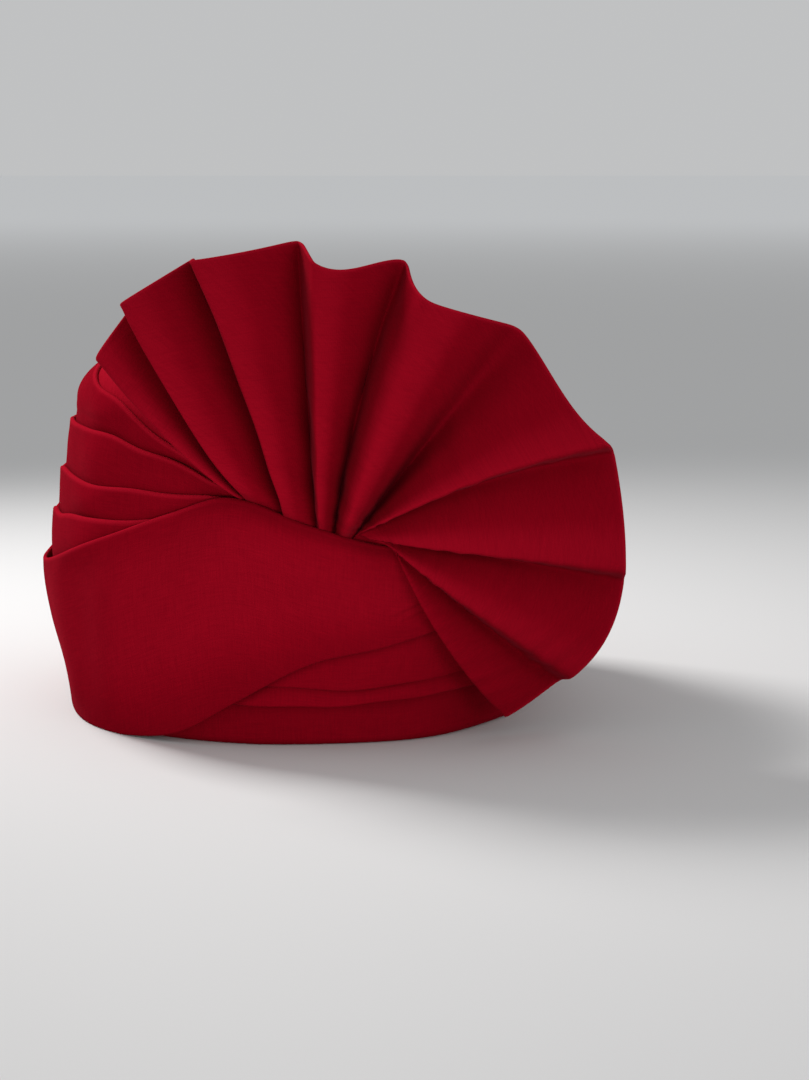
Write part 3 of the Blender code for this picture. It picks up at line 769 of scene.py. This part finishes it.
def cap_section(angle):
    """The padded cap's section: from the hollow's crown down the lining, round the rim, up the tube,
    out over the shoulder and up the dome. Dome and hollow are quarter ellipses."""
    first, second = edge_height("wrap_1_top", angle), edge_height("wrap_2_top", angle)
    lapped = np.minimum(CAP_LAP, LAP_SHARE * np.minimum(CROWN_HEIGHT - first, first - second))
    shoulder = first - lapped + CLEARANCE
    inner_top = CROWN_HEIGHT - DOME_WALL
    inner_base = inner_top - HEAD_HALF_WIDTH * HOLLOW_RISE
    turn = np.radians(np.linspace(POLE_ANGLE, 0, HOLLOW_STEPS))[None, :]
    down = np.linspace(1, 0, WALL_STEPS)[None, 1:-1]
    lip = (CAP_RADIUS - HEAD_HALF_WIDTH) / 2
    bend = np.radians(np.linspace(180, 0, ROLL_STEPS))[None, :]
    rise = np.linspace(0, 1, 5)[None, 1:]
    over = np.linspace(0, 1, LEDGE_STEPS)[None, 1:]
    climb = np.radians(np.linspace(0, POLE_ANGLE, DOME_STEPS))[None, 1:]
    dome_height = shoulder + (CROWN_HEIGHT - shoulder) * np.sin(climb)
    return section_of([
        (HEAD_HALF_WIDTH * np.cos(turn), inner_base + (inner_top - inner_base) * np.sin(turn)),
        (HEAD_HALF_WIDTH, lip + (inner_base - lip) * down),
        (HEAD_HALF_WIDTH + lip + lip * np.cos(bend), lip - lip * np.sin(bend)),
        (CAP_RADIUS, lip + (shoulder - lip) * rise),
        (CAP_RADIUS + (skin(shoulder, angle) - CAP_RADIUS) * over, shoulder),
        (skin(dome_height, angle), dome_height),
    ], angle)


def make_cap():
    """The padded cap: its section all round, closed at the poles of dome and hollow by faces that
    each take in two steps of the round."""
    angle = turn_angles(CAP_TURN_STEPS)[:, None]
    half_width, height = cap_section(angle)
    points = oval(half_width, angle, height)
    steps, count = points.shape[:2]
    tips = np.array([(0, 0, CROWN_HEIGHT - DOME_WALL), (0, 0, CROWN_HEIGHT)])
    hollow_tip, crown_tip = steps * count, steps * count + 1
    pair = np.arange(0, steps, 2)
    three = np.stack([pair, (pair + 1) % steps, (pair + 2) % steps], -1) * count
    hollow = np.concatenate([three, np.full((len(pair), 1), hollow_tip)], axis=1)
    crown = np.concatenate([three[:, ::-1] + count - 1, np.full((len(pair), 1), crown_tip)], axis=1)
    corners = np.concatenate([grid_faces(steps, count, columns_close=False), hollow, crown])
    places = np.concatenate([points.reshape(-1, 3), tips])
    seen_from_above = places[corners][..., :2]
    # Painted light: the whole cap paler
    piece = build_mesh("padded_cap", places, corners, seen_from_above, np.full(len(places), CAP_PAINTED_LIGHT))
    dress(piece, "crown_cap")
    return piece


def bulge_at(angle, share):
    """How far the sash stands off the crown to let the fan's gather in, most at its rolled top edge."""
    aside = np.asarray(angle, float) - BULGE_ANGLE
    spread = np.where(aside < 0, *BULGE_SPREADS)
    along = smoothstep(BULGE_STEEPNESS * (1 - np.abs(aside) / spread))
    return SASH_BULGE * along * smoothstep((share - BULGE_FOOT) / (1 - BULGE_FOOT))


def pinched_creases(angle, height):
    """How far the short creases beside the fan stand out: each is a bell curve across its line, cut
    off smoothly at its ends."""
    table = columns(CREASE_COLUMNS, CREASES)
    total = 0 * angle * height
    for centre, level, length, rise, depth in zip(*table.values()):
        aside, up = np.radians(angle - centre) * CROWN_HALF_WIDTH, height - level
        tilt = np.radians(rise)
        along = aside * np.cos(tilt) + up * np.sin(tilt)
        across = up * np.cos(tilt) - aside * np.sin(tilt)
        ends = smoothstep(1.5 * (1 - np.abs(along) / (length / 2)))
        total = total + depth * bell(across, CREASE_REACH) * ends
    return total


def make_sash(cloth):
    """The sash: one wide folded turn whose upper edge rolls over at the knot. Its centre line stands
    off the turns by their folds' thickness and the bulge, and is drawn in along the rolled edge and
    round the back, where its upper edge lies close."""
    angle = turn_angles()[:, None]
    top, hem = edge_height("band_top", angle), edge_height("band_hem", angle)
    near_knot = smoothstep(1.5 * (1 - np.abs(angle - ROLLED_ANGLE) / ROLLED_SPREAD))
    share = 1 - np.linspace(0, 1, BAND_STEPS + 1)[None, :] ** 1.25
    rolled = smoothstep((share - ROLLED_FROM) / (1 - ROLLED_FROM))
    thick = cloth.sash_thickness * (1 + near_knot * rolled)
    start, end = top - thick[:, :1] / 2, hem + cloth.sash_thickness / 2
    height = end + (start - end) * share
    tension = BROAD_RIPPLE * waves(angle, height, seed=23, size_across=0.16, size_up=0.16)
    tension = tension + NARROW_RIPPLE * waves(angle, height, seed=24, size_across=0.05, size_up=0.30)
    stand = cloth.fold_thickness + 3 * CLEARANCE + bulge_at(angle, share) + cloth.sash_thickness / 2
    stand = stand + SASH_EASE + tension * smoothstep(share / 0.2) * smoothstep((1 - share) / 0.1)
    stand = stand + LOOSE_HEM * within(angle, *LOOSE_SPAN) * smoothstep(1 - share / 0.25)
    drawn_in = ROLLED_DRAW * near_knot * rolled**2
    closer = CLOSE_DRAW * (1 - within(angle, *OPEN_SPAN)) * smoothstep(1 - (top - height) / CLOSE_DEPTH)
    centre = skin(height, angle) + stand + pinched_creases(angle, height) - drawn_in - closer
    half_width, level, from_lip = folded_section(centre, height, thick)
    points = oval(half_width, angle, level)
    down = (top - level) / (top - hem)
    # Painted light: paler away from the edges. Painted shade: darker towards the hem and along the rolled edge
    # at the knot. The lip away from the knot paler: rubbed wear with a painted highlight.
    relief = SASH_PAINTED_LIGHT * smoothstep(from_lip / SASH_PAINTED_LIGHT_REACH)
    relief = relief - SASH_FOOT_SHADE * smoothstep((down - 0.55) / 0.4)
    relief = relief + bell(from_lip, WORN_AND_LIT_EDGE_REACH) * (1 - near_knot)
    relief = relief - KNOT_SHADE * near_knot * bell(from_lip, KNOT_REACH)
    piece = dress(ring_object("sash_cloth", points, relief), "front_band")
    return piece


def fold_tips(table, knot):
    """Tips of the folds: polar places round the knot, each set back by its share."""
    heading, reach = np.radians(table["angle"]), table["reach"] * FAN_REACH
    back = table["back"] * FAN_SET_BACK
    return knot + np.stack([reach * np.cos(heading), back, reach * np.sin(heading)], 1)


def across_panels(rows, table, fan):
    """Values at the sheet's columns from those at its folds: each panel's columns lie evenly on the
    straight line between its two folds, and its hem dips towards the knot by a parabola. With them
    comes the pleat's front, which eases from crest to valley by 1 - cos of a quarter turn where the
    panel is plain, or by half of 1 - cos of a half turn where it is soft."""
    widths = np.linalg.norm(np.diff(rows["tip"], axis=0), axis=1)
    widths = np.hypot(widths, np.diff(table["front"]) * fan.pleat_depth / 2)
    counts = np.maximum(8, np.round(widths / FAN_SPACING)).astype(int)
    panel = np.repeat(np.arange(len(counts)), counts)
    u = np.concatenate([np.arange(count) / count for count in counts])
    panel, u = np.append(panel, len(counts) - 1), np.append(u, 1.0)
    spread = {}
    for name, value in rows.items():
        along = u if value.ndim == 1 else u[:, None]
        spread[name] = value[panel] + (value[panel + 1] - value[panel]) * along
    first, second = table["front"][panel], table["front"][panel + 1]
    v = np.where(first > second, u, 1 - u)
    plain, even = 1 - np.cos(v * np.pi / 2), 0.5 - 0.5 * np.cos(v * np.pi)
    soft = table["soft"][panel]
    crest, valley = np.maximum(first, second), np.minimum(first, second)
    spread["front"] = crest + (valley - crest) * ((1 - soft) * plain + soft * even)
    chord = rows["tip"][panel + 1] - rows["tip"][panel]
    inward = np.stack([chord[:, 2], 0 * u, -chord[:, 0]], 1)
    inward /= np.linalg.norm(inward, axis=1, keepdims=True)
    sag = 4 * table["sag"][panel] * u * (1 - u) * (1 + table["skew"][panel] * (1 - 2 * u))
    spread["tip"] = spread["tip"] + inward * sag[:, None]
    return spread


def rounded(values, radius):
    """Round values across the folds: each pass moves a column a quarter of the way to each of its
    neighbours, and a column takes part in as many passes as its fold's radius needs."""
    values = values + 0 * radius
    wanted = 2 * (radius / FAN_SPACING) ** 2
    for i in range(int(wanted.max()) + 1):
        moved = (values[:-2] + 2 * values[1:-1] + values[2:]) / 4
        values[1:-1] += (moved - values[1:-1]) * np.clip(wanted[1:-1] - i, 0, 1)
    return values


def in_front_of(points, half_width):
    """Bring points forward where they lie inside the crown's oval of this half width, with a soft
    landing: the logarithm of one plus the exponential stands for the larger of two values."""
    spare = (HEAD_HALF_DEPTH - HEAD_HALF_WIDTH) * np.minimum(half_width / HEAD_HALF_WIDTH, 1)
    inside = np.clip(1 - np.abs(points[..., 0] / half_width) ** OVAL_POWER, 0, 1)
    limit = -(half_width + spare) * inside ** (1 / OVAL_POWER)
    moved = points.copy()
    moved[..., 1] = limit - LANDING_EASE * np.logaddexp(0, (limit - points[..., 1]) / LANDING_EASE)
    return np.where(inside[..., None] > 0, moved, points)


def laid_on_crown(points, cloth):
    """The fan rests on the turns, and right of the knot it lies over the sash too. Each pass of the
    smoothing moves a row a quarter of the way to each of its neighbours."""
    room = cloth.fan_thickness / 2 + 3 * CLEARANCE
    height = points[..., 2]
    turn = np.degrees(np.arctan2(points[..., 0], CROWN_HALF_WIDTH))
    over_sash = smoothstep((turn - CROSSING_ANGLE + 2) / 4)
    over_sash = over_sash * smoothstep((edge_height("band_top", turn) + CLIMB_START - height) / CLIMB_DEPTH)
    sash = cloth.sash_thickness + SASH_ROOM + 2 * CLEARANCE + bulge_at(turn, 1.0)
    layers = cloth.fold_thickness + 2 * CLEARANCE + over_sash * sash
    laid = in_front_of(points, skin(height, turn) + layers + room)
    for _ in range(LANDING_PASSES):
        laid[:, 1:-1] = (laid[:, :-2] + 2 * laid[:, 1:-1] + laid[:, 2:]) / 4
    return laid


def fan_sheet(cloth, fan):
    """The fan's middle surface. A column runs from its root behind the sash to the hem: a straight
    line, bent sideways by a parabola, set back by a power of the share of its length, and brought
    forward or back by its pleat, more and more towards the hem. Also gives its wear and painted light:
    paler crests, rubbed with a painted highlight, and painted shade in the valleys, strongest near the knot."""
    table = columns(FOLD_COLUMNS, FOLDS)
    side = table["root"] * CROWN_HALF_WIDTH
    angle = np.degrees(np.arctan2(side, skin(edge_height("band_top", 0.0))))
    root_height = edge_height("band_top", angle) - table["tuck"] * ROOT_TUCK
    free = np.maximum(bulge_at(angle, 1.0), 2 * cloth.fan_thickness)
    stand = cloth.fold_thickness + 2 * CLEARANCE + ROOT_SHARE * free
    root = oval(skin(root_height) + stand, angle, root_height)
    knot = np.array([KNOT_SIDE, root[:, 1].min(), edge_height("band_top", CROSSING_ANGLE + 2)])
    rows = {"root": root, "tip": fold_tips(table, knot), "bow": table["bow"], "round": table["round"]}
    spread = across_panels(rows, table, fan)
    share = np.linspace(0, 1, FAN_ROWS)[None, :]
    corner = np.full((len(spread["round"]), 1), CORNER_RADIUS)
    root, tip = spread["root"][:, None, :], rounded(spread["tip"], corner)[:, None, :]
    run = tip - root
    sheet = root + run * share[:, :, None]
    sheet[:, :, 1] += (run[:, :, 1] + 0 * share) * (share**SET_BACK_POWER - share)
    across = np.concatenate([-run[:, :, 2:], 0 * run[:, :, 1:2], run[:, :, :1]], 2)
    sheet += across * (4 * spread["bow"][:, None] * share * (1 - share))[:, :, None]
    grown = np.clip((share - ROOT_SPAN) / (1 - ROOT_SPAN), 0, 1) ** fan.early_depth
    swell = ROOT_DEPTH + (1 - ROOT_DEPTH) * grown
    radius = spread["round"][:, None] * (ROOT_RADIUS + (1 - ROOT_RADIUS) * share)
    front = rounded(spread["front"][:, None], radius)
    spring = GATHER_SPRING * smoothstep(share / 0.12) * (1 - smoothstep((share - 0.2) / 0.5))
    sheet[:, :, 1] -= front * fan.pleat_depth / 2 * swell + spring
    # Crests paler: rubbed wear with a painted highlight
    crest = CREST_WEAR_AND_HIGHLIGHT * smoothstep((front - 0.4) / 0.6)
    # Painted shade in the valleys, darkest near the knot
    hollow = smoothstep((-front - 0.25) / 1.1) * (1 - 0.8 * smoothstep((share - 0.05) / 0.7))
    return laid_on_crown(sheet, cloth), crest - hollow


def sheet_normals(sheet):
    """Unit normals of a grid surface: the cross product of its slopes across and along."""
    normal = np.cross(np.gradient(sheet, axis=0), np.gradient(sheet, axis=1))
    return normal / (np.linalg.norm(normal, axis=2, keepdims=True) + 1e-12)


def both_faces(values):
    """The middle surface's values on its loops: front face, hem and back face."""
    hem = np.repeat(values[:, -1:], END_STEPS - 1, 1)
    return np.concatenate([values, hem, values[:, ::-1]], axis=1)


def make_fan(cloth, fan):
    """The fan: a closed wall round its middle surface, thin in the gather, beaded along the hem and
    rounded at its edges. Each column is one closed loop, front face, hem and back face, and the two
    outermost loops are closed by strips between their faces."""
    sheet, relief = fan_sheet(cloth, fan)
    normal = sheet_normals(sheet)
    normal *= np.sign(-normal[..., 1].mean())
    length = lengths_along(sheet, 1)
    to_hem = length[:, -1:] - length
    across = lengths_along(sheet, 0)
    ripple = FAN_RIPPLE * waves(across * 360 / CROWN_GIRTH, 0 * length, seed=41, size_across=0.05, size_up=1.0)
    ripple = ripple * smoothstep(to_hem / 0.01)
    sheet = sheet + normal * ripple[..., None]
    thick = cloth.fan_thickness * (GATHER_THICKNESS + (1 - GATHER_THICKNESS) * smoothstep(length / 0.03))
    thick = thick * (1 + HEM_BEAD * bell(to_hem, BEAD_REACH))
    side = np.minimum(np.arange(len(sheet)), np.arange(len(sheet))[::-1])[:, None]
    half = (thick * np.where(side == 0, 0.55, 1.0))[..., None] / 2
    onward = sheet[:, -1] - sheet[:, -2]
    onward = (onward / np.linalg.norm(onward, axis=1, keepdims=True))[:, None, :]
    bend = np.linspace(0, np.pi, END_STEPS + 1)[1:-1, None]
    hem = sheet[:, -1:] + half[:, -1:] * (np.cos(bend) * normal[:, -1:] + np.sin(bend) * onward)
    loop = np.concatenate([sheet + half * normal, hem, (sheet - half * normal)[:, ::-1]], axis=1)
    wide, count = loop.shape[:2]
    corners = grid_faces(wide, count, rows_close=False)[:, (0, 3, 2, 1)]
    k = np.arange((count - 1) // 2)
    first = np.stack([k, k + 1, count - 2 - k, count - 1 - k], -1)
    last = first[:, ::-1] + (wide - 1) * count
    corners = np.concatenate([corners, first, last])
    place = np.stack([both_faces(across), both_faces(length)], -1).reshape(-1, 2)
    # The hem paler: rubbed wear with a painted highlight
    relief = both_faces(relief + (1 - relief) * bell(to_hem, WORN_AND_LIT_EDGE_REACH))
    piece = build_mesh("fan_cloth", loop.reshape(-1, 3), corners, place[corners], relief)
    dress(piece, "pleated_fan")
    area = surface_area(piece) / 2
    return piece


def surface_area(piece):
    """Total area of a mesh's faces."""
    areas = np.empty(len(piece.data.polygons))
    piece.data.polygons.foreach_get("area", areas)
    return float(areas.sum())


def turn_outwards(piece):
    """Flip a closed piece's faces if the volume they enclose comes out negative."""
    mesh = piece.data
    places = np.empty(len(mesh.vertices) * 3)
    mesh.vertices.foreach_get("co", places)
    places = places.reshape(-1, 3)
    mesh.calc_loop_triangles()
    triangles = np.empty(len(mesh.loop_triangles) * 3, np.int32)
    mesh.loop_triangles.foreach_get("vertices", triangles)
    a, b, c = places[triangles.reshape(-1, 3).T]
    if np.einsum("ij,ij->i", a, np.cross(b, c)).sum() < 0:
        mesh.flip_normals()


def soft_light(name, power, size, bearing, elevation, distance, spread, colour):
    """A rectangular area light that looks at the middle of the turban."""
    light = bpy.data.lights.new(name, "AREA")
    light.shape = "RECTANGLE"
    light.energy, light.color, light.spread = power, colour, np.radians(spread)
    light.size, light.size_y = size
    lamp = bpy.data.objects.new(name, light)
    bpy.context.scene.collection.objects.link(lamp)
    way = way_from(bearing, elevation)
    lamp.location = way * distance + [AXIS[0], AXIS[1], CROWN_HEIGHT / 2]
    lamp.rotation_euler = aim(-way)
    return lamp


def way_from(bearing, elevation):
    """Direction towards a light, from its bearing off the front and its elevation in degrees."""
    turn, climb = np.radians(bearing), np.radians(elevation)
    return np.array([np.sin(turn) * np.cos(climb), -np.cos(turn) * np.cos(climb), np.sin(climb)])


def aim(way):
    """Rotation that turns a camera or lamp to look along a direction."""
    return Vector(way).to_track_quat("-Z", "Y").to_euler()


def pale_floor_material():
    """Matte and pale, paler with the distance from the turban, so that no line shows where the
    floor ends."""
    material = bpy.data.materials.new("pale_floor")
    material.use_nodes = True
    tree = material.node_tree
    shader = tree.nodes["Principled BSDF"]
    place = add_node(tree, "ShaderNodeTexCoord")
    away = add_node(tree, "ShaderNodeVectorMath", {0: place.outputs["Object"]}, operation="LENGTH")
    range_of_floor = {0: away.outputs["Value"], 1: FLOOR_NEAR, 2: FLOOR_FAR}
    share = add_node(tree, "ShaderNodeMapRange", range_of_floor, interpolation_type="SMOOTHERSTEP")
    colour = mix_colours(tree, share.outputs[0], FLOOR_GREY, FLOOR_PALE)
    tree.links.new(colour, shader.inputs["Base Color"])
    shader.inputs["Roughness"].default_value = 1.0
    shader.inputs["Specular IOR Level"].default_value = 0.0
    return material


def make_floor():
    """A plain pale floor: one large square."""
    mesh = bpy.data.meshes.new("floor")
    corners = [(-FLOOR_HALF, -FLOOR_HALF, 0), (FLOOR_HALF, -FLOOR_HALF, 0)]
    corners = corners + [(FLOOR_HALF, FLOOR_HALF, 0), (-FLOOR_HALF, FLOOR_HALF, 0)]
    mesh.from_pydata(corners, [], [(0, 1, 2, 3)])
    mesh.materials.append(pale_floor_material())
    floor = bpy.data.objects.new("floor", mesh)
    bpy.context.scene.collection.objects.link(floor)
    return floor


class TURBAN_OT_pad_cap(bpy.types.Operator):
    """Build the padded cap with its dome and the hollow for the head"""

    bl_idname = "turban.pad_cap"
    bl_label = "Pad the cap"

    def execute(self, context):
        turn_outwards(make_cap())
        return {"FINISHED"}


class TURBAN_OT_wind_turns(bpy.types.Operator):
    """Wind the folded turns and the rolled rim round the cap"""

    bl_idname = "turban.wind_turns"
    bl_label = "Wind the turns"

    def execute(self, context):
        for piece in make_folded_turns(context.scene.turban_cloth) + [make_rolled_rim()]:
            turn_outwards(piece)
        return {"FINISHED"}


class TURBAN_OT_lay_sash(bpy.types.Operator):
    """Lay the wide sash over the turns"""

    bl_idname = "turban.lay_sash"
    bl_label = "Lay the sash"

    def execute(self, context):
        turn_outwards(make_sash(context.scene.turban_cloth))
        return {"FINISHED"}


class TURBAN_OT_spread_fan(bpy.types.Operator):
    """Spread the pleated fan from the knot"""

    bl_idname = "turban.spread_fan"
    bl_label = "Spread the fan"

    def execute(self, context):
        turn_outwards(make_fan(context.scene.turban_cloth, context.scene.turban_fan))
        return {"FINISHED"}


class TURBAN_OT_set_stage(bpy.types.Operator):
    """Set the pale floor, the soft lights and the camera"""

    bl_idname = "turban.set_stage"
    bl_label = "Set the stage"

    def execute(self, context):
        stage = context.scene.turban_stage
        make_floor()
        for row in LIGHTS:
            light = dict(zip(LIGHT_COLUMNS, row))
            light["power"] = getattr(stage, light["power"])
            soft_light(**light)
        world = bpy.data.worlds.new("pale_room")
        world.use_nodes = True
        background = world.node_tree.nodes["Background"]
        background.inputs["Color"].default_value = ROOM_COLOUR
        background.inputs["Strength"].default_value = stage.sky
        context.scene.world = world
        context.scene.view_settings.view_transform = "Standard"
        camera = bpy.data.cameras.new("camera")
        camera.sensor_fit = "HORIZONTAL"
        camera.sensor_width = SENSOR
        camera.lens = SENSOR * FOCAL_PIXELS / FRAME_WIDTH
        eye = bpy.data.objects.new("camera", camera)
        context.scene.collection.objects.link(eye)
        way = np.array([0.0, np.cos(stage.elevation), -np.sin(stage.elevation)])
        target = np.array([AXIS[0] + stage.aim_side, AXIS[1], stage.aim_height])
        eye.location = target - way * stage.distance
        eye.rotation_euler = aim(way)
        context.scene.camera = eye
        return {"FINISHED"}


class TURBAN_PT_panel(bpy.types.Panel):
    """The turban's tools"""

    bl_label = "Turban"
    bl_idname = "TURBAN_PT_panel"
    bl_space_type = "VIEW_3D"
    bl_region_type = "UI"
    bl_category = "Turban"

    def draw(self, context):
        for group in (context.scene.turban_cloth, context.scene.turban_fan, context.scene.turban_stage):
            for name in group.__annotations__:
                self.layout.prop(group, name)
        for step in STEPS:
            self.layout.operator(step.bl_idname)


STEPS = (
    TURBAN_OT_pad_cap, TURBAN_OT_wind_turns, TURBAN_OT_lay_sash, TURBAN_OT_spread_fan, TURBAN_OT_set_stage)
CLASSES = (ClothSettings, FanSettings, StageSettings, *STEPS, TURBAN_PT_panel)


def register():
    """Make the settings, steps and panel known to Blender."""
    for made in CLASSES:
        bpy.utils.register_class(made)
    bpy.types.Scene.turban_cloth = bpy.props.PointerProperty(type=ClothSettings)
    bpy.types.Scene.turban_fan = bpy.props.PointerProperty(type=FanSettings)
    bpy.types.Scene.turban_stage = bpy.props.PointerProperty(type=StageSettings)


def unregister():
    """Take the settings, steps and panel out of Blender again."""
    del bpy.types.Scene.turban_stage
    del bpy.types.Scene.turban_fan
    del bpy.types.Scene.turban_cloth
    for made in reversed(CLASSES):
        bpy.utils.unregister_class(made)


def main():
    """Build the turban and its stage step by step."""
    register()
    bpy.ops.turban.pad_cap()
    bpy.ops.turban.wind_turns()
    bpy.ops.turban.lay_sash()
    bpy.ops.turban.spread_fan()
    bpy.ops.turban.set_stage()


if __name__ == "__main__":
    main()
